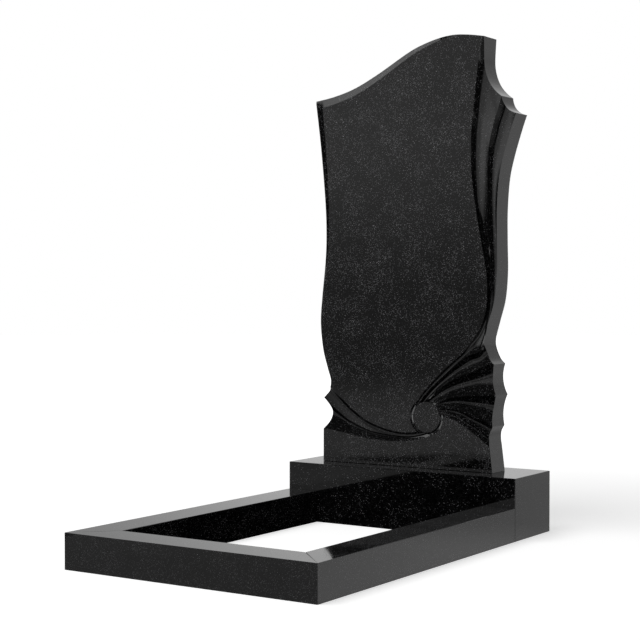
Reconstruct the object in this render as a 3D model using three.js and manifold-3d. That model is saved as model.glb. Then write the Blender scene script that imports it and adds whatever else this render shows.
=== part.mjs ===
// Headstone of polished black granite: a carved stele on a block base, with a
// kerb of three bars that frames the planting bed in front of it.
// Millimetres, +Z up, the front towards -Y, origin in the middle of the footprint.
import * as THREE from 'three';
import { mergeVertices } from 'three/addons/utils/BufferGeometryUtils.js';
import Module from 'manifold-3d';

const wasm = await Module();
wasm.setup();

// Driving dimensions
const overallWidth = 600;
const kerbRun = 782;
const kerbHeight = 74;
const kerbWidth = 80;
const baseDepth = 178;
const baseHeight = 139;
const steleWidth = 532;
const steleHeight = 992;
const steleThickness = 64;
const jointGap = 0.3;

// How far each ridge of the carving lies behind the front face
const innerRidgeDrop = 4;
const outerRidgeDrop = 7;
const fanRidgeDrop = 5;
const fanLowRidgeDrop = 3;
const footRidgeDrop = 3;

// How far each flute is hollowed below the line from ridge to ridge
const longFluteDepth = 8;
const edgeFluteDepth = 5.5;
const fanFluteDepth = 7;
const fanLowFluteDepth = 5;
const footFluteDepth = 6.5;
const medallionRadius = 35.5;
const grooveWidth = 8;
const grooveDepth = 1.45;
const grooveFlat = 0.6;

// Shallow margins that slope off the face, full at the top left tip: how deep they are
// at the edge, how far along it they die out, and how early they start to narrow
const marginWidth = 20;
const sideMarginDepth = 4.5;
const sideMarginEnd = 0.34;
const sideMarginTaper = 0.8;
const topMarginDepth = 6.5;
const topMarginEnd = 0.82;
const topMarginTaper = 0.45;

// How far the scallops of the outline are hollowed
const heelSag = 22;
const shoulderSag = 9.5;
const fanSag = 8;
const fanLowSag = 6;

// The drawing that the stele is cut from: its outline and carving are shares of
// this width and height, x from the centre line and h up from the foot.
const drawing = new THREE.Vector2(532, 992);

// How far cutters stand clear of what they cut, and the steps of the round parts
const cutterLift = 6;
const cutterReach = 30;
const marginEase = 3;
const ridgeOverlap = 1;
const ridgeSlope = 0.26;
const wallWidth = 5;
const wallShare = 0.6;
const roundSteps = 72;
const longSteps = 72;
const edgeSteps = 36;
const fanSteps = 18;
const footSteps = 24;
const marginSteps = 24;
const carveAcross = 8;

// Places that follow from the sizes
const overallDepth = kerbRun + baseDepth;
const baseFront = overallDepth / 2 - baseDepth;
const kerbFront = -overallDepth / 2;
const steleFront = baseFront + (baseDepth - steleThickness) / 2;
const steleFoot = baseHeight + jointGap;

const granite = (color) => new THREE.MeshStandardMaterial({ color, roughness: 0.08, metalness: 0 });

function namedMesh(name, geometry, color) {
  const mesh = new THREE.Mesh(geometry, granite(color));
  mesh.name = name;
  return mesh;
}

// Solids for joining and cutting
function toSolid(geometry) {
  const bare = geometry.index ? geometry.clone() : mergeVertices(geometry.deleteAttribute('normal'));
  bare.deleteAttribute('normal');
  bare.deleteAttribute('uv');
  const merged = mergeVertices(bare, 1e-4);
  return new wasm.Manifold(new wasm.Mesh({
    numProp: 3,
    vertProperties: new Float32Array(merged.attributes.position.array),
    triVerts: new Uint32Array(merged.index.array),
  }));
}

function toGeometry(solid) {
  const mesh = solid.getMesh();
  const geometry = new THREE.BufferGeometry();
  geometry.setAttribute('position', new THREE.BufferAttribute(mesh.vertProperties, 3));
  geometry.setIndex(new THREE.BufferAttribute(mesh.triVerts, 1));
  return geometry;
}

// A point of the drawing at the stele's real size
function drawn(x, h) {
  return new THREE.Vector2(x * steleWidth / drawing.x, h * steleHeight / drawing.y);
}

function curveThrough(...pairs) {
  return new THREE.SplineCurve(pairs.map(([x, h]) => drawn(x, h)));
}

// A hollow arc from one point to the next, sag to the right of the way it runs
function scallop(from, to, sag) {
  const a = drawn(...from);
  const b = drawn(...to);
  const chord = b.clone().sub(a);
  const aside = new THREE.Vector2(chord.y, -chord.x).normalize();
  const middle = a.clone().add(b).multiplyScalar(0.5).addScaledVector(aside, 2 * sag);
  return new THREE.QuadraticBezierCurve(a, middle, b);
}

// Outline of the stele, from the left foot up, over the top and down the right
const leftFoot = [-239.6, 0];
const leftHeel = [-239.6, 77.7];
const leftCusp = [-239.6, 152.6];
const topLeftTip = [-264, 866];
const topRightTip = [190.5, 982.5];
const upperCusp = [233, 846];
const outerCusp = [268, 806];
const fanCuspHigh = [215.3, 245];
const fanCuspMiddle = [221.3, 175];
const fanCuspLow = [213.6, 104.5];
const rightFoot = [214.5, 0];
const medallionPoint = [44.5, 118.5];

const leftSide = curveThrough(
  leftCusp, [-222, 174], [-218.6, 196], [-227, 222], [-241, 271], [-247.5, 335], [-243, 397],
  [-234, 480], [-232, 550], [-236, 630], [-249, 756], topLeftTip,
);
const topEdge = curveThrough(
  topLeftTip, [-213, 873.5], [-154, 889.5], [-90, 918], [-8, 961], [33, 977], [73, 987.2],
  [113, 991.8], [152, 989], topRightTip,
);
const upperScallop = curveThrough(
  topRightTip, [188, 936], [189.3, 914], [195.2, 892], [205, 873], [219, 857], upperCusp,
);
const rightSide = curveThrough(
  outerCusp, [257, 776], [238, 716], [226, 664], [220.5, 593], [220.5, 523], [221.5, 453],
  [216, 391], [202.5, 342], [192, 303], [193, 282], [204, 256.5], fanCuspHigh,
);
const rightHeel = curveThrough(fanCuspLow, [206, 90], [205, 73], [207.2, 57.7], [211, 28], rightFoot);

const outlineRuns = [
  [new THREE.LineCurve(drawn(...leftFoot), drawn(...leftHeel)), 1],
  [scallop(leftHeel, leftCusp, heelSag), 10],
  [leftSide, 40],
  [topEdge, 32],
  [upperScallop, 14],
  [scallop(upperCusp, outerCusp, shoulderSag), 8],
  [rightSide, 44],
  [scallop(fanCuspHigh, fanCuspMiddle, fanSag), 8],
  [scallop(fanCuspMiddle, fanCuspLow, fanLowSag), 8],
  [rightHeel, 10],
];

// Creases and ridges of the carving; each runs from the stele's edge to the medallion
const panelCrease = curveThrough(
  [194, 1000], [181.2, 950], [171.5, 882], [165.8, 831], [160, 780], [158.5, 728], [160.4, 676],
  [164.6, 638], [172.3, 591.5], [180.2, 546.5], [190, 494.7], [197.9, 453.5], [201, 410],
  [196.1, 360.4], [180.8, 322.3], [157.6, 290.7], [138.7, 268.9], [95.9, 233.7], [61.5, 202],
  [35.1, 174.3], [17.6, 146.7], [9, 122],
);
const innerRidge = curveThrough(
  [236, 856], [226, 821], [218, 801], [211, 775], [203, 741], [200, 701], [199.5, 661], [200, 611],
  [202, 561], [204.5, 511], [208, 461], [210, 411], [206, 371], [200, 336], [194, 300], [176, 271],
  [150, 262], [120, 241], [100, 225], [80, 208], [60, 190], [40, 170], [24, 150], [13, 126],
);
const outerRidge = curveThrough(
  [273, 812], [258, 777], [239, 716], [228, 664], [224, 593], [227, 523], [230, 453], [225, 391],
  [212, 342], [202, 315],
);
const innerRidgeShort = curveThrough(
  [236, 856], [226, 821], [218, 801], [211, 775], [203, 741], [200, 701], [199.5, 661], [200, 611],
  [202, 561], [204.5, 511], [208, 461], [210, 411], [206, 371], [200, 336], [196, 308],
);
const fanRidges = [
  curveThrough([214, 300], [194, 290], [176, 271], [150, 262], [120, 241], [80, 208], [40, 170], [20, 145]),
  curveThrough([232, 252], [200, 243], [160, 226], [120, 211], [80, 188], [45, 155]),
  curveThrough([236, 176], [190, 174], [150, 171], [100, 163], [60, 145]),
  curveThrough([230, 98], [190, 116], [160, 126], [120, 139], [65, 140]),
  curveThrough([226, 68], [180, 96], [150, 112], [120, 126], [65, 134]),
  curveThrough([224, 46], [190, 71], [160, 91], [120, 113], [65, 128]),
];
const footRidges = [
  curveThrough([-232, 190], [-200, 164], [-160, 131], [-120, 105], [-80, 90], [-40, 82], [0, 81], [40, 88]),
  curveThrough([-256, 163], [-205, 126], [-168, 102], [-120, 83], [-80, 75], [-40, 72], [0, 72], [40, 80]),
  curveThrough([-256, 80], [-215, 76], [-170, 69], [-120, 61], [-60, 58], [0, 61], [40, 70], [56, 78]),
];
const medallionCentre = drawn(...medallionPoint);

// Where each kind of flute has its trough, as a share of its width, how it rises from
// there, and its greatest depth as a share of its width. Where a flute is narrow, the
// wall down to its trough keeps its width, up to a share of the flute.
const longSection = [0.17, 1.5, 0.2];
const edgeSection = [0.3, 1.5, 0.18];
const fanSection = [0.4, 1.3, 0.12];
const footSection = [0.32, 1.25, 0.15];

// Section of a flute: it falls round to its trough and rises more gently from there
function hollowed(u, trough, rise) {
  if (u < trough) return Math.sin(Math.PI / 2 * u / trough);
  return 1 - ((u - trough) / (1 - trough)) ** rise;
}

// Closed cutter for flutes side by side between curves. Its floor passes through each
// curve at that curve's drop and is hollowed between them; it runs a little past a
// last curve that lies behind the face, so that it meets the next cutter.
function flutes(curves, depths, drops, [trough, rise, slope], steps) {
  const positions = [];
  const last = curves.length - 1;
  const past = drops[last] > 0 ? 1 : 0;
  const across = last * carveAcross + past;
  for (let i = 0; i <= steps; i += 1) {
    const stations = curves.map((curve) => curve.getPointAt(i / steps));
    const widths = stations.slice(1).map((station, k) => station.distanceTo(stations[k]));
    const room = (k) => ridgeSlope * (widths[k] ?? Infinity);
    const sunk = drops.map((drop, k) => Math.min(drop, room(k - 1), room(k)));
    for (let j = 0; j <= across; j += 1) {
      const k = Math.min(Math.floor(j / carveAcross), last - 1);
      const u = Math.min(j / carveAcross - k, 1);
      const point = stations[k].clone().lerp(stations[k + 1], u);
      const onward = point.clone().sub(stations[k]).normalize();
      if (j > last * carveAcross) point.addScaledVector(onward, ridgeOverlap);
      const bend = Math.max(trough, Math.min(wallShare, wallWidth / widths[k]));
      const hollow = Math.min(depths[k], slope * widths[k]) * hollowed(u, bend, rise);
      const depth = sunk[k] + (sunk[k + 1] - sunk[k]) * u + hollow;
      positions.push(point.x, steleFront + depth, steleFoot + point.y);
      positions.push(point.x, steleFront - cutterLift, steleFoot + point.y);
    }
  }
  return closedGrid(positions, steps, across);
}

// Triangles of a grid of floor and lid points, walled all round
function closedGrid(positions, steps, across) {
  const index = [];
  const row = 2 * (across + 1);
  const floorPoint = (i, j) => i * row + 2 * j;
  const lidPoint = (i, j) => floorPoint(i, j) + 1;
  const quad = (a, b, c, d) => index.push(a, b, c, a, c, d);
  for (let i = 0; i < steps; i += 1) {
    for (let j = 0; j < across; j += 1) {
      quad(floorPoint(i, j), floorPoint(i, j + 1), floorPoint(i + 1, j + 1), floorPoint(i + 1, j));
      quad(lidPoint(i, j), lidPoint(i + 1, j), lidPoint(i + 1, j + 1), lidPoint(i, j + 1));
    }
    quad(floorPoint(i, 0), floorPoint(i + 1, 0), lidPoint(i + 1, 0), lidPoint(i, 0));
    quad(floorPoint(i, across), lidPoint(i, across), lidPoint(i + 1, across), floorPoint(i + 1, across));
  }
  for (let j = 0; j < across; j += 1) {
    quad(floorPoint(0, j), lidPoint(0, j), lidPoint(0, j + 1), floorPoint(0, j + 1));
    quad(floorPoint(steps, j), floorPoint(steps, j + 1), lidPoint(steps, j + 1), lidPoint(steps, j));
  }
  const geometry = new THREE.BufferGeometry();
  geometry.setAttribute('position', new THREE.Float32BufferAttribute(positions, 3));
  geometry.setIndex(index);
  const solid = toSolid(geometry);
  return solid.volume() < 0 ? toSolid(flipped(geometry)) : solid;
}

function flipped(geometry) {
  const index = Array.from(geometry.index.array);
  for (let n = 0; n < index.length; n += 3) [index[n], index[n + 1]] = [index[n + 1], index[n]];
  geometry.setIndex(index);
  return geometry;
}

// A round bar through the front face, on the medallion's centre
function medallionBar() {
  const bar = new THREE.CylinderGeometry(medallionRadius, medallionRadius, steleThickness, roundSteps);
  bar.translate(medallionCentre.x, steleFront, steleFoot + medallionCentre.y);
  return toSolid(bar);
}

// The sloping-sided groove that sets the medallion off
function medallionGroove() {
  const half = grooveWidth / 2;
  const flat = grooveFlat / 2;
  const middle = medallionRadius + half;
  const section = [
    [-half, cutterLift], [-half, 0], [-flat, -grooveDepth], [flat, -grooveDepth], [half, 0],
    [half, cutterLift], [-half, cutterLift],
  ].map(([x, y]) => new THREE.Vector2(middle + x, y));
  const ring = new THREE.LatheGeometry(section, roundSteps);
  ring.rotateX(Math.PI);
  ring.translate(medallionCentre.x, steleFront, steleFoot + medallionCentre.y);
  return toSolid(ring);
}

// Shallow margin along an edge: full at one share of its length, nothing at another
function margin(edge, full, gone, depth, taper) {
  const positions = [];
  const steps = marginSteps;
  const slope = depth / marginWidth;
  for (let i = -1; i <= steps; i += 1) {
    const t = Math.max(i, 0) / steps;
    const share = (1 - t) ** taper;
    const place = full + (gone - full) * t;
    const at = edge.getPointAt(place);
    const tangent = edge.getTangentAt(place);
    if (i < 0) at.addScaledVector(tangent, cutterReach * Math.sign(full - gone));
    const inward = new THREE.Vector2(tangent.y, -tangent.x);
    const inner = at.clone().addScaledVector(inward, marginWidth * share);
    const outer = at.clone().addScaledVector(inward, -cutterReach);
    const outerDepth = slope * (marginWidth * share + cutterReach) * Math.min(1, marginEase * share);
    positions.push(inner.x, steleFront, steleFoot + inner.y);
    positions.push(inner.x, steleFront - cutterLift, steleFoot + inner.y);
    positions.push(outer.x, steleFront + outerDepth, steleFoot + outer.y);
    positions.push(outer.x, steleFront - cutterLift, steleFoot + outer.y);
  }
  return closedGrid(positions, steps + 1, 1);
}

function slab() {
  const points = [];
  for (const [curve, count] of outlineRuns) points.push(...curve.getSpacedPoints(count).slice(0, -1));
  points.push(drawn(...rightFoot));
  const geometry = new THREE.ExtrudeGeometry(new THREE.Shape(points), {
    depth: steleThickness,
    bevelEnabled: false,
  });
  geometry.rotateX(Math.PI / 2);
  geometry.translate(0, steleFront + steleThickness, steleFoot);
  return toSolid(geometry);
}

function stele() {
  const fanDepths = [fanFluteDepth, fanFluteDepth, fanFluteDepth, fanLowFluteDepth, fanLowFluteDepth];
  const fanDrops = [fanRidgeDrop, fanRidgeDrop, fanRidgeDrop, fanLowRidgeDrop, fanLowRidgeDrop, 0];
  const footDepths = [footFluteDepth, footFluteDepth];
  const longDrops = [0, innerRidgeDrop];
  const edgeDrops = [innerRidgeDrop, outerRidgeDrop];
  const footDrops = [0, footRidgeDrop, 0];
  const carving = flutes([panelCrease, innerRidge], [longFluteDepth], longDrops, longSection, longSteps)
    .add(flutes([innerRidgeShort, outerRidge], [edgeFluteDepth], edgeDrops, edgeSection, edgeSteps))
    .add(flutes(fanRidges, fanDepths, fanDrops, fanSection, fanSteps))
    .add(flutes(footRidges, footDepths, footDrops, footSection, footSteps))
    .subtract(medallionBar())
    .add(medallionGroove())
    .add(margin(leftSide, 1, sideMarginEnd, sideMarginDepth, sideMarginTaper))
    .add(margin(topEdge, 0, topMarginEnd, topMarginDepth, topMarginTaper));
  return toGeometry(slab().subtract(carving));
}

// Base block under the stele
function base() {
  const block = new THREE.BoxGeometry(overallWidth, baseDepth, baseHeight);
  block.translate(0, baseFront + baseDepth / 2, baseHeight / 2);
  return block;
}

// Kerb bars, mitred at the two front corners
function bar(corners) {
  const outline = new THREE.Shape(corners.map(([x, y]) => new THREE.Vector2(x, y)));
  return new THREE.ExtrudeGeometry(outline, { depth: kerbHeight, bevelEnabled: false });
}

const halfWidth = overallWidth / 2;
const mitreGap = jointGap / Math.SQRT2;

function frontBar() {
  return bar([
    [-halfWidth + mitreGap, kerbFront],
    [halfWidth - mitreGap, kerbFront],
    [halfWidth - mitreGap - kerbWidth, kerbFront + kerbWidth],
    [-halfWidth + mitreGap + kerbWidth, kerbFront + kerbWidth],
  ]);
}

function sideBar(side) {
  const back = baseFront - jointGap;
  return bar([
    [side * halfWidth, kerbFront + mitreGap],
    [side * halfWidth, back],
    [side * (halfWidth - kerbWidth), back],
    [side * (halfWidth - kerbWidth), kerbFront + mitreGap + kerbWidth],
  ]);
}

const headstone = new THREE.Group();
headstone.add(
  namedMesh('stele', stele(), 0x161617),
  namedMesh('base_block', base(), 0x141415),
  namedMesh('kerb_front', frontBar(), 0x171718),
  namedMesh('kerb_left', sideBar(-1), 0x171718),
  namedMesh('kerb_right', sideBar(1), 0x171718),
);

export default headstone;
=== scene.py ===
"""Headstone of polished black granite: a carved stele on a block base, with a
kerb of three bars round a planting bed. Metres, +Z up, the front towards -Y."""
import math

import bmesh
import bpy
from mathutils import Matrix, Vector


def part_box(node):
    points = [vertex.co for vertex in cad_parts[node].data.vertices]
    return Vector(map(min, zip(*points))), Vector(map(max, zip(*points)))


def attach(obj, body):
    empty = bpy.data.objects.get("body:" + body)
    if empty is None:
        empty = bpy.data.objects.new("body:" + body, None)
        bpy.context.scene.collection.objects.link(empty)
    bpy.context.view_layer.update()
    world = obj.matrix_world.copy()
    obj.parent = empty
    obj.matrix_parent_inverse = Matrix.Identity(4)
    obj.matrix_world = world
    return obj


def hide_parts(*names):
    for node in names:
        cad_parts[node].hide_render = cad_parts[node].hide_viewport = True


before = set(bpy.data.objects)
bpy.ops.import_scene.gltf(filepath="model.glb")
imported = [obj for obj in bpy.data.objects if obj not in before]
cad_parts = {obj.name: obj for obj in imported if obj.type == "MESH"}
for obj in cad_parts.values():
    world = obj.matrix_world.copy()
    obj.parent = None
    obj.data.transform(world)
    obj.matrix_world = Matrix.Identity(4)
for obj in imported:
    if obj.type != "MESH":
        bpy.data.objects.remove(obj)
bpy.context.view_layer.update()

MM = 0.001

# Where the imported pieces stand
STELE_LOW, STELE_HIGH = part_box("stele")
STELE_FRONT = STELE_LOW.y
STELE_THICKNESS = STELE_HIGH.y - STELE_LOW.y

# How far each ridge of the carving lies behind the front face
INNER_RIDGE_DROP = 4 * MM
OUTER_RIDGE_DROP = 7 * MM
FAN_RIDGE_DROP = 5 * MM
FAN_LOW_RIDGE_DROP = 3 * MM
FOOT_RIDGE_DROP = 3 * MM

# How far each flute is hollowed below the line from ridge to ridge
LONG_FLUTE_DEPTH = 8 * MM
EDGE_FLUTE_DEPTH = 5.5 * MM
FAN_FLUTE_DEPTH = 7 * MM
FAN_LOW_FLUTE_DEPTH = 5 * MM
FOOT_FLUTE_DEPTH = 6.5 * MM

# The medallion and the groove round it
MEDALLION_RADIUS = 35.5 * MM
MEDALLION_BAR_LENGTH = 60 * MM
GROOVE_WIDTH = 8 * MM
GROOVE_DEPTH = 1.45 * MM
GROOVE_FLAT = 0.6 * MM

# The margins: where each dies out as a share of its edge, how fast it narrows, and how close to
# its end its depth eases away
MARGIN_WIDTH = 20 * MM
SIDE_MARGIN_DEPTH = 4.5 * MM
SIDE_MARGIN_END = 0.66
SIDE_MARGIN_TAPER = 0.8
TOP_MARGIN_DEPTH = 6.5 * MM
TOP_MARGIN_END = 0.82
TOP_MARGIN_TAPER = 0.45
MARGIN_EASE = 3

# How far cutters stand proud of the stone, and how far one runs past a last ridge
LIFT = 6 * MM
CUTTER_REACH = 30 * MM
RIDGE_OVERLAP = 1 * MM

# Narrow flutes: the steepest drop to a ridge, the least width of the wall down to the trough,
# and the most of the flute that this wall may take
RIDGE_SLOPE = 0.26
WALL_WIDTH = 5 * MM
WALL_SHARE = 0.6

# Where each kind of flute has its trough, as a share of its width, how it rises from
# there, and its greatest depth as a share of its width
LONG_SECTION = (0.17, 1.5, 0.2)
EDGE_SECTION = (0.3, 1.5, 0.18)
FAN_SECTION = (0.4, 1.3, 0.12)
FOOT_SECTION = (0.32, 1.25, 0.15)

# Eased edges, as a polisher leaves them
STELE_ARRIS = 0.8 * MM
BLOCK_ARRIS = 1.2 * MM

# How finely everything is drawn
CURVE_FINENESS = 24
SCALLOP_FINENESS = 48
HEEL_SCALLOP_STEPS = 20
LEFT_SIDE_STEPS = 96
TOP_EDGE_STEPS = 72
UPPER_SCALLOP_STEPS = 28
CUSP_SCALLOP_STEPS = 16
RIGHT_SIDE_STEPS = 104
RIGHT_HEEL_STEPS = 24
LONG_FLUTE_STEPS = 200
EDGE_FLUTE_STEPS = 100
FAN_FLUTE_STEPS = 64
FOOT_FLUTE_STEPS = 80
FLUTE_ACROSS = 16
MARGIN_TRACK_STEPS = 240
MARGIN_STEPS = 60
MEDALLION_SEGMENTS = 96
GROOVE_SEGMENTS = 144

# Points closer than these are one. Edges turned more than the crease angle stay crisp, and
# faces turned less than the flat angle belong to the front or back
TOUCHING = 1e-6
WELD = 2e-6
CREASE_DEGREES = 24
FLAT_DEGREES = 0.3

# The drawing that the stele is cut from: x from the centre line, h up from the foot
DRAWING_WIDTH = 532
DRAWING_HEIGHT = 992

LEFT_FOOT = (-239.6, 0)
LEFT_HEEL = (-239.6, 77.7)
LEFT_CUSP = (-239.6, 152.6)
TOP_LEFT_TIP = (-264, 866)
TOP_RIGHT_TIP = (190.5, 982.5)
UPPER_CUSP = (233, 846)
OUTER_CUSP = (268, 806)
FAN_CUSP_HIGH = (215.3, 245)
FAN_CUSP_MIDDLE = (221.3, 175)
FAN_CUSP_LOW = (213.6, 104.5)
RIGHT_FOOT = (214.5, 0)
MEDALLION_CENTRE = (44.5, 118.5)

# How far the scallops between cusps are hollowed, in the drawing's millimetres
HEEL_SCALLOP_SAG = 22
UPPER_CUSP_SAG = 9.5
FAN_CUSP_SAG_HIGH = 8
FAN_CUSP_SAG_LOW = 6

LEFT_SIDE = [
    LEFT_CUSP, (-222, 174), (-218.6, 196), (-227, 222), (-241, 271), (-247.5, 335), (-243, 397),
    (-234, 480), (-232, 550), (-236, 630), (-249, 756), TOP_LEFT_TIP,
]
TOP_EDGE = [
    TOP_LEFT_TIP, (-213, 873.5), (-154, 889.5), (-90, 918), (-8, 961), (33, 977), (73, 987.2),
    (113, 991.8), (152, 989), TOP_RIGHT_TIP,
]
UPPER_SCALLOP = [
    TOP_RIGHT_TIP, (188, 936), (189.3, 914), (195.2, 892), (205, 873), (219, 857), UPPER_CUSP,
]
RIGHT_SIDE = [
    OUTER_CUSP, (257, 776), (238, 716), (226, 664), (220.5, 593), (220.5, 523), (221.5, 453),
    (216, 391), (202.5, 342), (192, 303), (193, 282), (204, 256.5), FAN_CUSP_HIGH,
]
RIGHT_HEEL = [FAN_CUSP_LOW, (206, 90), (205, 73), (207.2, 57.7), (211, 28), RIGHT_FOOT]

PANEL_CREASE = [
    (194, 1000), (181.2, 950), (171.5, 882), (165.8, 831), (160, 780), (158.5, 728), (160.4, 676),
    (164.6, 638), (172.3, 591.5), (180.2, 546.5), (190, 494.7), (197.9, 453.5), (201, 410),
    (196.1, 360.4), (180.8, 322.3), (157.6, 290.7), (138.7, 268.9), (95.9, 233.7), (61.5, 202),
    (35.1, 174.3), (17.6, 146.7), (9, 122),
]
INNER_RIDGE_HEAD = [
    (236, 856), (226, 821), (218, 801), (211, 775), (203, 741), (200, 701), (199.5, 661), (200, 611),
    (202, 561), (204.5, 511), (208, 461), (210, 411), (206, 371), (200, 336),
]
INNER_RIDGE = INNER_RIDGE_HEAD + [
    (194, 300), (176, 271), (150, 262), (120, 241), (100, 225), (80, 208), (60, 190), (40, 170),
    (24, 150), (13, 126),
]
INNER_RIDGE_SHORT = INNER_RIDGE_HEAD + [(196, 308)]
OUTER_RIDGE = [
    (273, 812), (258, 777), (239, 716), (228, 664), (224, 593), (227, 523), (230, 453), (225, 391),
    (212, 342), (202, 315),
]
FAN_RIDGES = [
    [(214, 300), (194, 290), (176, 271), (150, 262), (120, 241), (80, 208), (40, 170), (20, 145)],
    [(232, 252), (200, 243), (160, 226), (120, 211), (80, 188), (45, 155)],
    [(236, 176), (190, 174), (150, 171), (100, 163), (60, 145)],
    [(230, 98), (190, 116), (160, 126), (120, 139), (65, 140)],
    [(226, 68), (180, 96), (150, 112), (120, 126), (65, 134)],
    [(224, 46), (190, 71), (160, 91), (120, 113), (65, 128)],
]
FOOT_RIDGES = [
    [(-232, 190), (-200, 164), (-160, 131), (-120, 105), (-80, 90), (-40, 82), (0, 81), (40, 88)],
    [(-256, 163), (-205, 126), (-168, 102), (-120, 83), (-80, 75), (-40, 72), (0, 72), (40, 80)],
    [(-256, 80), (-215, 76), (-170, 69), (-120, 61), (-60, 58), (0, 61), (40, 70), (56, 78)],
]


def drawn(pair):
    """A point of the drawing at the stele's real size, as x and height above the foot."""
    width = STELE_HIGH.x - STELE_LOW.x
    height = STELE_HIGH.z - STELE_LOW.z
    return Vector((pair[0] * width / DRAWING_WIDTH, pair[1] * height / DRAWING_HEIGHT))


def on_front(point, depth=0.0):
    """A drawn point on the front face, or depth behind it."""
    return Vector((point.x, STELE_FRONT + depth, STELE_LOW.z + point.y))


# Curves

def resample(points, count):
    """count + 1 points at equal steps along a fine polyline."""
    reach = [0.0]
    for a, b in zip(points, points[1:]):
        reach.append(reach[-1] + (b - a).length)
    out = []
    span = 0
    for n in range(count + 1):
        goal = reach[-1] * n / count
        while span < len(points) - 2 and reach[span + 1] < goal:
            span += 1
        share = (goal - reach[span]) / (reach[span + 1] - reach[span])
        out.append(points[span].lerp(points[span + 1], min(share, 1.0)))
    return out


def curve_through(pairs, count):
    """A smooth curve through the drawing's points."""
    knots = [drawn(pair) for pair in pairs]
    points = []
    for n in range(len(knots) - 1):
        before = knots[max(n - 1, 0)]
        start, end = knots[n], knots[n + 1]
        after = knots[min(n + 2, len(knots) - 1)]
        leave, arrive = (end - before) * 0.5, (after - start) * 0.5
        for step in range(CURVE_FINENESS):
            t = step / CURVE_FINENESS
            points.append(
                (2 * start - 2 * end + leave + arrive) * t**3
                + (-3 * start + 3 * end - 2 * leave - arrive) * t**2
                + leave * t
                + start
            )
    points.append(knots[-1])
    return resample(points, count)


def scallop(start, end, sag, count):
    """A hollow arc, sag millimetres of the drawing to the right of the way it runs."""
    a, b = drawn(start), drawn(end)
    chord = b - a
    aside = Vector((chord.y, -chord.x)).normalized()
    drawing_mm = (STELE_HIGH.x - STELE_LOW.x) / DRAWING_WIDTH
    middle = (a + b) * 0.5 + aside * 2 * sag * drawing_mm
    points = []
    for n in range(SCALLOP_FINENESS + 1):
        t = n / SCALLOP_FINENESS
        points.append(a.lerp(middle, t).lerp(middle.lerp(b, t), t))
    return resample(points, count)


def stele_outline():
    """The outline from the left foot up, over the top and down the right."""
    runs = [
        [drawn(LEFT_FOOT), drawn(LEFT_HEEL)],
        scallop(LEFT_HEEL, LEFT_CUSP, HEEL_SCALLOP_SAG, HEEL_SCALLOP_STEPS),
        curve_through(LEFT_SIDE, LEFT_SIDE_STEPS),
        curve_through(TOP_EDGE, TOP_EDGE_STEPS),
        curve_through(UPPER_SCALLOP, UPPER_SCALLOP_STEPS),
        scallop(UPPER_CUSP, OUTER_CUSP, UPPER_CUSP_SAG, CUSP_SCALLOP_STEPS),
        curve_through(RIGHT_SIDE, RIGHT_SIDE_STEPS),
        scallop(FAN_CUSP_HIGH, FAN_CUSP_MIDDLE, FAN_CUSP_SAG_HIGH, CUSP_SCALLOP_STEPS),
        scallop(FAN_CUSP_MIDDLE, FAN_CUSP_LOW, FAN_CUSP_SAG_LOW, CUSP_SCALLOP_STEPS),
        curve_through(RIGHT_HEEL, RIGHT_HEEL_STEPS),
    ]
    points = []
    for run in runs:
        points += run[:-1]
    return points + [drawn(RIGHT_FOOT)]


# Meshes

def finish_mesh(bm, name):
    """Turns a bmesh into a linked object with its faces pointing out."""
    bmesh.ops.recalc_face_normals(bm, faces=bm.faces)
    mesh = bpy.data.meshes.new(name)
    bm.to_mesh(mesh)
    bm.free()
    piece = bpy.data.objects.new(name, mesh)
    bpy.context.scene.collection.objects.link(piece)
    return piece


def loop_of(bm, points):
    """A closed ring of edges through the points."""
    verts = [bm.verts.new(point) for point in points]
    return [bm.edges.new((a, b)) for a, b in zip(verts, verts[1:] + verts[:1])]


def loft(name, sections):
    """A closed body through rings of points, with its first and last ring filled."""
    bm = bmesh.new()
    rings = [loop_of(bm, section) for section in sections]
    for near, far in zip(rings, rings[1:]):
        bmesh.ops.bridge_loops(bm, edges=near + far)
    for ring in (rings[0], rings[-1]):
        bmesh.ops.edgeloop_fill(bm, edges=ring)
    return finish_mesh(bm, name)


def cut(piece, tool):
    """Cuts a piece with a tool, which is used up."""
    modifier = piece.modifiers.new("cut", "BOOLEAN")
    modifier.operation = "DIFFERENCE"
    modifier.solver = "MANIFOLD"
    modifier.object = tool
    graph = bpy.context.evaluated_depsgraph_get()
    result = bpy.data.meshes.new_from_object(piece.evaluated_get(graph))
    piece.modifiers.clear()
    worn = piece.data
    piece.data = result
    result.name = piece.name
    bpy.data.meshes.remove(worn)
    bpy.data.objects.remove(tool)


def hollowed(u, trough, rise):
    """Section of a flute: it falls round to its trough and rises more gently from there."""
    if u < trough:
        return math.sin(math.pi / 2 * u / trough)
    return 1 - ((u - trough) / (1 - trough)) ** rise


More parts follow.
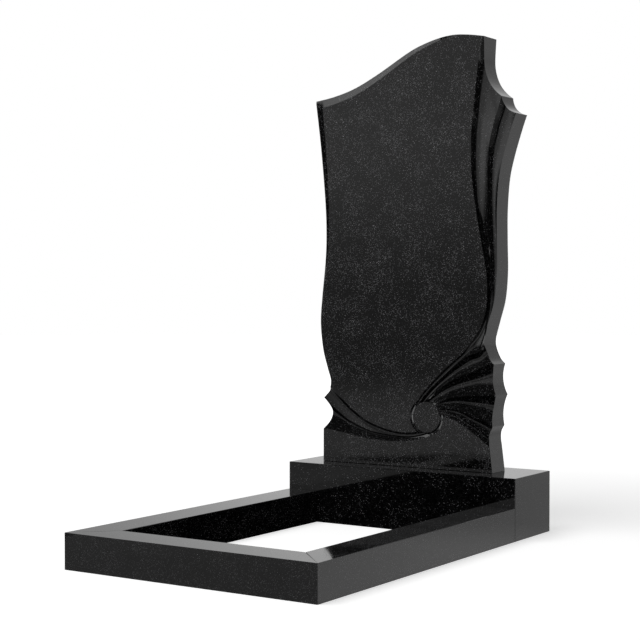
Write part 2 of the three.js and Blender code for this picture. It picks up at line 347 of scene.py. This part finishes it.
def flute_cutter(name, curves, depths, drops, section, steps):
    """Hollows side by side between curves; the floor meets each curve at that curve's drop."""
    trough, rise, slope = section
    tracks = [curve_through(pairs, steps) for pairs in curves]
    last = len(curves) - 1
    past = 1 if drops[last] > 0 else 0
    sections = []
    for stations in zip(*tracks):
        widths = [(b - a).length for a, b in zip(stations, stations[1:])]
        sunk = [
            min([drop] + [RIDGE_SLOPE * width for width in widths[max(k - 1, 0):k + 1]])
            for k, drop in enumerate(drops)
        ]
        floor = []
        for j in range(last * FLUTE_ACROSS + past + 1):
            k = min(j // FLUTE_ACROSS, last - 1)
            u = min(j / FLUTE_ACROSS - k, 1.0)
            point = stations[k].lerp(stations[k + 1], u)
            if j > last * FLUTE_ACROSS:
                point += (point - stations[k]).normalized() * RIDGE_OVERLAP
            bend = max(trough, min(WALL_SHARE, WALL_WIDTH / max(widths[k], TOUCHING)))
            hollow = min(depths[k], slope * widths[k]) * hollowed(u, bend, rise)
            floor.append(on_front(point, sunk[k] + (sunk[k + 1] - sunk[k]) * u + hollow))
        lid = [Vector((point.x, STELE_FRONT - LIFT, point.z)) for point in (floor[-1], floor[0])]
        sections.append(floor + lid)
    return loft(name, sections)


def medallion_bar():
    """A round bar through the front face, which keeps the medallion out of a cutter."""
    bm = bmesh.new()
    place = Matrix.Translation(on_front(drawn(MEDALLION_CENTRE)))
    bmesh.ops.create_cone(
        bm, cap_ends=True, segments=MEDALLION_SEGMENTS, radius1=MEDALLION_RADIUS,
        radius2=MEDALLION_RADIUS, depth=MEDALLION_BAR_LENGTH,
        matrix=place @ Matrix.Rotation(math.pi / 2, 4, "X"),
    )
    return finish_mesh(bm, "medallion_bar")


def medallion_groove():
    """The sloping-sided groove that sets the medallion off."""
    centre = on_front(drawn(MEDALLION_CENTRE))
    half, flat = GROOVE_WIDTH / 2, GROOVE_FLAT / 2
    middle = MEDALLION_RADIUS + half
    section = [
        (-half, -LIFT), (-half, 0), (-flat, GROOVE_DEPTH), (flat, GROOVE_DEPTH), (half, 0), (half, -LIFT),
    ]
    bm = bmesh.new()
    ring = loop_of(bm, [centre + Vector((middle + x, y, 0)) for x, y in section])
    bmesh.ops.spin(
        bm, geom=ring, cent=centre, axis=(0, 1, 0), angle=math.tau, steps=GROOVE_SEGMENTS, use_merge=True
    )
    bmesh.ops.remove_doubles(bm, verts=bm.verts, dist=TOUCHING)
    return finish_mesh(bm, "medallion_groove")


def margin_cutter(name, pairs, share_of_edge, depth, taper, inward_side):
    """A shallow margin along an edge: full at the top-left tip, dying out along the edge."""
    track = curve_through(pairs, MARGIN_TRACK_STEPS)
    slope = depth / MARGIN_WIDTH
    sections = []
    for n in range(-1, MARGIN_STEPS + 1):
        t = max(n, 0) / MARGIN_STEPS
        share = (1 - t) ** taper
        place = min(int(t * share_of_edge * MARGIN_TRACK_STEPS), MARGIN_TRACK_STEPS - 1)
        tangent = (track[place + 1] - track[place]).normalized()
        at = track[place].copy()
        if n < 0:
            at -= tangent * CUTTER_REACH
        inward = Vector((tangent.y, -tangent.x)) * inward_side
        inner = at + inward * MARGIN_WIDTH * share
        outer = at - inward * CUTTER_REACH
        outer_depth = slope * (MARGIN_WIDTH * share + CUTTER_REACH) * min(1.0, MARGIN_EASE * share)
        sections.append([
            on_front(inner), on_front(outer, outer_depth), on_front(outer, -LIFT), on_front(inner, -LIFT),
        ])
    return loft(name, sections)


def smooth_carving(piece):
    """Smooth shading that stays crisp at creases and round every flat face."""
    mesh = piece.data
    bm = bmesh.new()
    bm.from_mesh(mesh)
    bmesh.ops.remove_doubles(bm, verts=bm.verts, dist=WELD)
    bmesh.ops.dissolve_degenerate(bm, edges=bm.edges, dist=WELD)
    for face in bm.faces:
        face.smooth = True
    flat = math.cos(math.radians(FLAT_DEGREES))
    for edge in bm.edges:
        if len(edge.link_faces) != 2:
            continue
        facing = [abs(face.normal.y) > flat for face in edge.link_faces]
        if facing[0] != facing[1] or edge.calc_face_angle(0) > math.radians(CREASE_DEGREES):
            edge.smooth = False
    bm.to_mesh(mesh)
    bm.free()


def stele():
    """The slab with eased edges, less its flutes, medallion groove and margins."""
    bm = bmesh.new()
    front = bm.faces.new([bm.verts.new(on_front(point)) for point in stele_outline()])
    grown = bmesh.ops.extrude_face_region(bm, geom=[front])
    moved = [item for item in grown["geom"] if isinstance(item, bmesh.types.BMVert)]
    bmesh.ops.translate(bm, verts=moved, vec=(0, STELE_THICKNESS, 0))
    bmesh.ops.recalc_face_normals(bm, faces=bm.faces)
    rims = [edge for edge in bm.edges if abs((edge.verts[1].co - edge.verts[0].co).y) < TOUCHING]
    bmesh.ops.bevel(
        bm, geom=rims, offset=STELE_ARRIS, affect="EDGES", segments=1, profile=0.5, material=-1
    )
    slab = finish_mesh(bm, "carved_stele")
    cutters = [
        flute_cutter(
            "long_flute", [PANEL_CREASE, INNER_RIDGE], [LONG_FLUTE_DEPTH], [0, INNER_RIDGE_DROP],
            LONG_SECTION, LONG_FLUTE_STEPS,
        ),
        flute_cutter(
            "edge_flute", [INNER_RIDGE_SHORT, OUTER_RIDGE], [EDGE_FLUTE_DEPTH],
            [INNER_RIDGE_DROP, OUTER_RIDGE_DROP], EDGE_SECTION, EDGE_FLUTE_STEPS,
        ),
        flute_cutter(
            "fan_flutes", FAN_RIDGES,
            [FAN_FLUTE_DEPTH] * 3 + [FAN_LOW_FLUTE_DEPTH] * 2,
            [FAN_RIDGE_DROP] * 3 + [FAN_LOW_RIDGE_DROP] * 2 + [0], FAN_SECTION, FAN_FLUTE_STEPS,
        ),
        flute_cutter(
            "foot_flutes", FOOT_RIDGES, [FOOT_FLUTE_DEPTH] * 2, [0, FOOT_RIDGE_DROP, 0],
            FOOT_SECTION, FOOT_FLUTE_STEPS,
        ),
    ]
    for cutter in cutters:
        cut(cutter, medallion_bar())
        cut(slab, cutter)
    cut(slab, medallion_groove())
    for margin in (
        margin_cutter(
            "side_margin", LEFT_SIDE[::-1], SIDE_MARGIN_END, SIDE_MARGIN_DEPTH, SIDE_MARGIN_TAPER, -1
        ),
        margin_cutter("top_margin", TOP_EDGE, TOP_MARGIN_END, TOP_MARGIN_DEPTH, TOP_MARGIN_TAPER, 1),
    ):
        cut(slab, margin)
    smooth_carving(slab)
    return slab


def block(name, node, cuts=()):
    """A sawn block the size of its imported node, cut at its mitres, with eased edges."""
    low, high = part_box(node)
    bm = bmesh.new()
    place = Matrix.Translation((low + high) / 2) @ Matrix.Diagonal((*(high - low), 1))
    bmesh.ops.create_cube(bm, size=1.0, matrix=place)
    for point, normal in cuts:
        sawn = bmesh.ops.bisect_plane(
            bm, geom=bm.verts[:] + bm.edges[:] + bm.faces[:], plane_co=point, plane_no=normal,
            clear_outer=True,
        )
        rim = [item for item in sawn["geom_cut"] if isinstance(item, bmesh.types.BMEdge)]
        bmesh.ops.edgeloop_fill(bm, edges=rim)
    bmesh.ops.bevel(
        bm, geom=bm.edges[:], offset=BLOCK_ARRIS, affect="EDGES", segments=2, profile=0.5, material=-1
    )
    piece = finish_mesh(bm, name)
    for polygon in piece.data.polygons:
        polygon.use_smooth = False
    return piece


# Shader maths

class Value:
    """A socket that takes part in Python arithmetic; each operation adds a Math node."""

    def __init__(self, maker, socket):
        self.maker = maker
        self.socket = socket

    def _with(self, operation, *others):
        return self.maker.node("ShaderNodeMath", {"operation": operation}, {
            n: other for n, other in enumerate((self, *others))
        })

    def __add__(self, other):
        return self._with("ADD", other)

    def __mul__(self, other):
        return self._with("MULTIPLY", other)

    def __sub__(self, other):
        return self._with("SUBTRACT", other)

    def __rsub__(self, other):
        return self.maker.node("ShaderNodeMath", {"operation": "SUBTRACT"}, {0: other, 1: self})

    def __pow__(self, other):
        return self._with("POWER", other)

    def __neg__(self):
        return self * -1

    __radd__ = __add__
    __rmul__ = __mul__


class Maker:
    """Adds nodes to the tree of a material or world."""

    def __init__(self, owner):
        owner.use_nodes = True
        self.tree = owner.node_tree
        self.tree.nodes.clear()

    def node(self, kind, settings=None, sockets=None, output=0):
        """A node with its settings, then the values or links of its sockets."""
        made = self.tree.nodes.new(kind)
        for key, value in (settings or {}).items():
            setattr(made, key, value)
        for key, value in (sockets or {}).items():
            if isinstance(value, Value):
                self.tree.links.new(value.socket, made.inputs[key])
            else:
                made.inputs[key].default_value = value
        return Value(self, made.outputs[output]) if made.outputs else made

    def axes(self, vector):
        """The x, y and z of a vector."""
        return [self.node("ShaderNodeSeparateXYZ", {}, {"Vector": vector}, output=n) for n in range(3)]

    def grey(self, value):
        """A colour without hue."""
        return self.node("ShaderNodeCombineColor", {}, {"Red": value, "Green": value, "Blue": value})

    def smooth(self, value, low, high):
        """0 below low, 1 above high, eased between."""
        return self.node(
            "ShaderNodeMapRange",
            {"interpolation_type": "SMOOTHSTEP"},
            {"Value": value, "From Min": low, "From Max": high, "To Min": 0.0, "To Max": 1.0},
        )

    def by_ray(self, seen, mirrored, soft):
        """One shader for the camera, one for what the polish mirrors and one for matt light."""
        glossy = self.node("ShaderNodeLightPath", output="Is Glossy Ray")
        unseen = self.node("ShaderNodeMixShader", {}, {0: glossy, 1: soft, 2: mirrored})
        direct = self.node("ShaderNodeLightPath", output="Is Camera Ray")
        return self.node("ShaderNodeMixShader", {}, {0: direct, 1: unseen, 2: seen})


# Granite: clumps and wisps crowd the flecks. Each layer of flecks has its cells to the metre, the
# share of cells left bare and how light the flecks are
CLUMP_SCALE = 17.0
CLUMP_DETAIL = 3.0
WISP_SCALE = 70.0
WISP_DETAIL = 2.0
CLUMP_SHARE = 0.65
CROWD_SPAN = (0.38, 0.64)
CROWD_PULL = 0.3
FLECK_LAYERS = ((460.0, 0.9, 0.5), (640.0, 0.82, 0.46), (750.0, 0.6, 0.12))
FLECK_RIM = (0.18, 0.45)
BARE_SPAN = 0.12
FLECK_LEAST = 0.012
GROUND_LIGHT = 0.001
BLUE_CAST = 1.04
POLISH_ROUGHNESS = 0.05
FLECK_ROUGHNESS = 0.12
FLECK_ROUGH_SPAN = (0.01, 0.08)
GRANITE_IOR = 1.52

# How much of the flecks shows behind the front of the stele, dimmed there as painted shade for the shaded
# walls of the carving, and on the blocks
HOLLOW_SHADE_START = 0.5 * MM
HOLLOW_SHADE_FULL = 3 * MM
HOLLOW_SHADE_SHOW = 0.5
BLOCK_SHOW = 0.6
BLOCK_TOP_BLUR = 1 * MM


def polished_granite():
    """Black granite, mirror polished: near-black ground with fine grey flecks in loose clumps,
    which show most on the front of the stele; behind it they are dimmed as painted shade."""
    material = bpy.data.materials.new("polished_black_granite")
    maker = Maker(material)
    place = maker.node("ShaderNodeTexCoord", output="Object")
    clumps, wisps = [
        maker.node("ShaderNodeTexNoise", {}, {"Vector": place, "Scale": scale, "Detail": detail})
        for scale, detail in ((CLUMP_SCALE, CLUMP_DETAIL), (WISP_SCALE, WISP_DETAIL))
    ]
    crowd = maker.smooth(clumps * CLUMP_SHARE + wisps * (1 - CLUMP_SHARE), *CROWD_SPAN)
    _, y, z = maker.axes(place)
    # Painted shade: the flecks are dimmed everywhere behind the front face of the stele, for the shaded
    # walls of the carving
    behind_front_shade = maker.smooth(y, STELE_FRONT + HOLLOW_SHADE_START, STELE_FRONT + HOLLOW_SHADE_FULL)
    on_stele = maker.smooth(z, STELE_LOW.z - BLOCK_TOP_BLUR, STELE_LOW.z + BLOCK_TOP_BLUR)
    show = (1 - behind_front_shade * (1 - HOLLOW_SHADE_SHOW)) * (on_stele * (1 - BLOCK_SHOW) + BLOCK_SHOW)
    light = GROUND_LIGHT
    for scale, bare, strength in FLECK_LAYERS:
        near = maker.node("ShaderNodeTexVoronoi", {}, {"Vector": place, "Scale": scale})
        lot = maker.node("ShaderNodeTexVoronoi", {}, {"Vector": place, "Scale": scale}, output="Color")
        pick = maker.node("ShaderNodeSeparateColor", {}, {"Color": lot}, output="Red")
        tone = maker.node("ShaderNodeSeparateColor", {}, {"Color": lot}, output="Green")
        chosen = maker.smooth(pick + crowd * CROWD_PULL, bare, bare + BARE_SPAN)
        spot = (1 - maker.smooth(near, *FLECK_RIM)) * chosen
        light = spot * show * (tone * tone * strength + FLECK_LEAST) + light
    surface = maker.node("ShaderNodeBsdfPrincipled", {}, {
        "Base Color": maker.node("ShaderNodeCombineColor", {}, {
            "Red": light, "Green": light, "Blue": light * BLUE_CAST,
        }),
        "Roughness": maker.smooth(light, *FLECK_ROUGH_SPAN) * FLECK_ROUGHNESS + POLISH_ROUGHNESS,
        "IOR": GRANITE_IOR,
    })
    maker.node("ShaderNodeOutputMaterial", {}, {"Surface": surface})
    return material


# Studio: a tone is a brightness, and a span runs from where a zone starts to where it is full

# The floor as the camera sees it
FLOOR_RADIUS = 14.0
FLOOR_SEGMENTS = 64
FLOOR_GREY = 0.8
FLOOR_ROUGHNESS = 0.9
PALE_NEAR = 0.55
PALE_SPAN = (0.8, 3.5)

# The floor's glow as the polish mirrors it, a painted reflection, in metres: dark in the bed, pale to the
# right
# # and behind, quieter in front, with a painted shadow beside the kerb and bright to the far left
BED_MIDDLE = -0.05
BED_HALF_WIDTH = 0.2795
BED_HALF_DEPTH = 0.3701
BED_SQUARENESS = 4
BED_RIM = (0.6, 1.2)
RIGHT_SPAN = (0.24, 0.32)
RIGHT_FRONT_SPAN = (-0.52, -0.44)
BEHIND_SLANT = 0.5
BEHIND_SPAN = (0.3, 0.6)
RIGHT_TONE = 0.78
RIGHT_BACK_LOSS = 0.26
RIGHT_BACK_SPAN = (0.1, 0.6)
RIGHT_AWAY_GAIN = 0.12
RIGHT_AWAY_SPAN = (1.2, 2.5)
FRONT_TONE = 0.44
FRONT_AWAY_LOSS = 0.25
FRONT_AWAY_SPAN = (2.5, 6.0)
FRONT_SPAN = (0.0, 0.3)
FRONT_NEAR_SHARE = 0.8
FRONT_NEAR_SPAN = (0.6, 1.1)
KERB_SHADE = 0.9
KERB_SHADE_SLANT = 1.2
KERB_SHADE_SPAN = (-1.85, -1.78)
KERB_SHADE_SIDE_SPAN = (0.56, 0.6)
KERB_SHADE_FRONT_SPAN = (0.66, 0.72)
FLOOR_FAR_LEFT_TONE = 1.8
FLOOR_FAR_LEFT_SPAN = (0.75, 0.95)
FLOOR_FAR_LEFT_SLANT = 0.3
FLOOR_FAR_LEFT_BACK_SPAN = (0.2, 0.26)
# A faint glow that the floor gives off to light the stone from below
FLOOR_SOFT = 0.1

# The surroundings as the polish mirrors them, by x, y and z of the direction looked in
BACK_SPAN = (-0.1, 0.3)
BACK_TONE = 0.48
BACK_LEFT_GAIN = 0.35
BACK_LEFT_SPAN = (-0.68, -0.52)
BACK_RIGHT_LOSS = 0.2
BACK_RIGHT_SPAN = (-0.3, 0.3)
BACK_HIGH_LOSS = 0.09
BACK_HIGH_SPAN = (0.09, 0.17)
BACK_HIGH_RIGHT_SPAN = (0.0, 0.3)
WALL_LEFT_SPAN = (-0.84, -0.74)
WALL_RIGHT_SPAN = (0.15, 0.55)
WALL_TONE = 0.2
WALL_RISE_GAIN = 0.38
WALL_RISE_SPAN = (-0.02, 0.1)
WALL_FAR_GAIN = 0.8
WALL_FAR_SPAN = (0.56, 0.68)
WALL_TOP_LOSS = 0.95
WALL_TOP_SPAN = (0.18, 0.24)
DARK_TONE = 0.02
HIGH_TONE = 1.7
HIGH_START = (0.38, 0.44)
HIGH_END = (0.58, 0.62)
HIGH_FRONT_SPAN = (-0.6, -0.56)
HIGH_LEFT_SPAN = (0.54, 0.6)
FAR_LEFT_TONE = 1.6
FAR_LEFT_SPAN = (0.86, 0.9)
FAR_LEFT_SLANT = 0.5
FAR_LEFT_BACK_SPAN = (-0.37, -0.32)
OVERHEAD_SPAN = (0.76, 0.84)
OVERHEAD_BACK_SPAN = (-0.35, -0.15)
SKY_SOFT = 0.25
WHITE = (1.0, 1.0, 1.0, 1.0)

# The lamp, which only matt light shows
LAMP_PLACE = (-0.6, -1.2, 3.2)
LAMP_TARGET = (0, 0.1, 0.4)
LAMP_WIDTH = 2.4
LAMP_DEPTH = 2.0
LAMP_WATTS = 60

# The photograph's view: angles in degrees, the lens and sensor in millimetres
CAMERA_PLACE = (1.7714, -2.6980, 0.5626)
CAMERA_DIP = 1.315
CAMERA_TURN = 33.467
CAMERA_LENS = 85.49
CAMERA_SENSOR = 36.0
CAMERA_REACH = 100


def glowing(maker, tone, roughness, glow):
    """A matt surface that also gives off light of its own."""
    return maker.node("ShaderNodeBsdfPrincipled", {}, {
        "Base Color": (tone, tone, tone, 1.0),
        "Roughness": roughness,
        "Specular IOR Level": 0.0,
        "Emission Color": maker.grey(glow),
        "Emission Strength": 1.0,
    })


def painted_floor_reflection(maker, x, y, away):
    """How bright the floor glows where the polish mirrors it: a painted reflection, with a painted shadow
    beside the kerb.
    """
    across = x * (1 / BED_HALF_WIDTH)
    along = (y - BED_MIDDLE) * (1 / BED_HALF_DEPTH)
    bed_shape = (across * across) ** BED_SQUARENESS + (along * along) ** BED_SQUARENESS
    bed = 1 - maker.smooth(bed_shape, *BED_RIM)
    right = maker.smooth(x, *RIGHT_SPAN) * maker.smooth(y, *RIGHT_FRONT_SPAN)
    dull = 1 - (1 - right) * (1 - maker.smooth(y + x * BEHIND_SLANT, *BEHIND_SPAN))
    right_tone = RIGHT_TONE - maker.smooth(y, *RIGHT_BACK_SPAN) * RIGHT_BACK_LOSS
    right_tone = right_tone + maker.smooth(away, *RIGHT_AWAY_SPAN) * RIGHT_AWAY_GAIN
    near = FRONT_NEAR_SHARE + maker.smooth(-y, *FRONT_NEAR_SPAN) * (1 - FRONT_NEAR_SHARE)
    front = FRONT_TONE - maker.smooth(away, *FRONT_AWAY_SPAN) * FRONT_AWAY_LOSS
    front = front * maker.smooth(-y, *FRONT_SPAN) * near
    beside_kerb = maker.smooth(-x, *KERB_SHADE_SIDE_SPAN) * maker.smooth(-y, *KERB_SHADE_FRONT_SPAN)
    # Painted shadow of the kerb on the floor, seen only in the polish
    shade = maker.smooth(y + x * KERB_SHADE_SLANT, *KERB_SHADE_SPAN) * beside_kerb * KERB_SHADE
    far_left = maker.smooth(-x, *FLOOR_FAR_LEFT_SPAN) * FLOOR_FAR_LEFT_TONE
    far_left = far_left * maker.smooth(y - x * FLOOR_FAR_LEFT_SLANT, *FLOOR_FAR_LEFT_BACK_SPAN)
    return ((front * (1 - shade) + far_left) * (1 - dull) + right_tone * dull) * (1 - bed)


def studio_floor():
    """A pale floor for the camera, which the polish mirrors as a painted reflection and which glows
    faintly for matt light.
    """
    bm = bmesh.new()
    bmesh.ops.create_circle(bm, cap_ends=True, segments=FLOOR_SEGMENTS, radius=FLOOR_RADIUS)
    floor = finish_mesh(bm, "studio_floor")
    material = bpy.data.materials.new("pale_floor_with_painted_reflection")
    maker = Maker(material)
    x, y, _ = maker.axes(maker.node("ShaderNodeTexCoord", output="Object"))
    away = (x * x + y * y) ** 0.5
    pale_glow = maker.smooth(away, *PALE_SPAN) * (1 - PALE_NEAR) + PALE_NEAR
    surface = maker.by_ray(
        seen=glowing(maker, FLOOR_GREY, FLOOR_ROUGHNESS, pale_glow),
        # The floor glows only for the polish, as a painted reflection, and faintly for matt light
        mirrored=glowing(maker, 0.0, 1.0, painted_floor_reflection(maker, x, y, away)),
        soft=maker.node("ShaderNodeEmission", {}, {"Color": WHITE, "Strength": FLOOR_SOFT}),
    )
    maker.node("ShaderNodeOutputMaterial", {}, {"Surface": surface})
    floor.data.materials.append(material)


def mirrored_surroundings(maker, x, y, z):
    """How bright each direction is where the polish mirrors it: pale behind, bright overhead,
    a soft wall to the front left with a brighter strip above it, and bright at the far left."""
    back = maker.smooth(y, *BACK_SPAN)
    back_tone = BACK_TONE + maker.smooth(x, *BACK_LEFT_SPAN) * BACK_LEFT_GAIN
    back_tone = back_tone - maker.smooth(x, *BACK_RIGHT_SPAN) * BACK_RIGHT_LOSS
    high_right = maker.smooth(z, *BACK_HIGH_SPAN) * maker.smooth(x, *BACK_HIGH_RIGHT_SPAN)
    back_tone = back_tone - high_right * BACK_HIGH_LOSS
    wall = maker.smooth(x, *WALL_LEFT_SPAN) * maker.smooth(-x, *WALL_RIGHT_SPAN)
    wall = wall * (maker.smooth(z, *WALL_RISE_SPAN) * WALL_RISE_GAIN + WALL_TONE)
    wall = wall * (maker.smooth(-x, *WALL_FAR_SPAN) * WALL_FAR_GAIN + 1)
    low = wall * (1 - maker.smooth(z, *WALL_TOP_SPAN) * WALL_TOP_LOSS) + DARK_TONE
    high = maker.smooth(z, *HIGH_START) * (1 - maker.smooth(z, *HIGH_END))
    high = high * maker.smooth(y, *HIGH_FRONT_SPAN) * maker.smooth(-x, *HIGH_LEFT_SPAN)
    far_left = maker.smooth(-x, *FAR_LEFT_SPAN) * FAR_LEFT_TONE
    far_left = far_left * maker.smooth(y + z * FAR_LEFT_SLANT, *FAR_LEFT_BACK_SPAN)
    overhead = maker.smooth(z, *OVERHEAD_SPAN) * maker.smooth(y, *OVERHEAD_BACK_SPAN)
    return (low + high * HIGH_TONE) * (1 - back) + back * back_tone + overhead + far_left


def studio_world():
    """White surroundings, which the polish mirrors as quiet."""
    world = bpy.data.worlds.new("studio")
    bpy.context.scene.world = world
    maker = Maker(world)
    x, y, z = maker.axes(maker.node("ShaderNodeTexCoord", output="Generated"))
    plain, quiet, soft = [
        maker.node("ShaderNodeBackground", {}, {"Color": WHITE, "Strength": strength})
        for strength in (1.0, mirrored_surroundings(maker, x, y, z), SKY_SOFT)
    ]
    surface = maker.by_ray(seen=plain, mirrored=quiet, soft=soft)
    maker.node("ShaderNodeOutputWorld", {}, {"Surface": surface})


def overhead_lamp():
    """A broad soft lamp above the front left, which isn't mirrored."""
    lamp = bpy.data.lights.new("overhead", "AREA")
    lamp.shape = "RECTANGLE"
    lamp.size = LAMP_WIDTH
    lamp.size_y = LAMP_DEPTH
    lamp.energy = LAMP_WATTS
    light = bpy.data.objects.new("overhead", lamp)
    light.location = LAMP_PLACE
    light.rotation_euler = (Vector(LAMP_TARGET) - Vector(LAMP_PLACE)).to_track_quat("-Z", "Y").to_euler()
    light.visible_glossy = False
    bpy.context.scene.collection.objects.link(light)


def camera():
    """A camera from the front right, a little above the middle."""
    lens = bpy.data.cameras.new("view")
    lens.sensor_width = CAMERA_SENSOR
    lens.lens = CAMERA_LENS
    lens.clip_end = CAMERA_REACH
    eye = bpy.data.objects.new("view", lens)
    eye.location = CAMERA_PLACE
    eye.rotation_euler = (math.radians(90 - CAMERA_DIP), 0, math.radians(CAMERA_TURN))
    bpy.context.scene.collection.objects.link(eye)
    bpy.context.scene.camera = eye


def kerb():
    """The three bars of the kerb with the nodes they replace, the front one mitred to both sides."""
    front_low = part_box("kerb_front")[0]
    side_low, side_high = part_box("kerb_right")
    gap = side_low.y - front_low.y
    corner_right = Vector((side_high.x, front_low.y, 0))
    corner_left = Vector((-side_high.x, front_low.y, 0))
    inward = Vector((gap, 0, 0))
    back = Vector((0, gap, 0))
    front_cuts = [(corner_right - inward, (1, 1, 0)), (corner_left + inward, (-1, 1, 0))]
    return [
        (block("front_kerb_stone", "kerb_front", front_cuts), "kerb_front"),
        (block("left_kerb_stone", "kerb_left", [(corner_left + back, (1, -1, 0))]), "kerb_left"),
        (block("right_kerb_stone", "kerb_right", [(corner_right + back, (-1, -1, 0))]), "kerb_right"),
    ]


def main():
    granite = polished_granite()
    stones = [(stele(), "stele"), (block("base_stone", "base_block"), "base_block")] + kerb()
    for piece, node in stones:
        piece.data.materials.clear()
        piece.data.materials.append(granite)
        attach(piece, "root")
        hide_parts(node)
    studio_floor()
    studio_world()
    overhead_lamp()
    camera()
    bpy.context.scene.view_settings.view_transform = "Standard"


main()
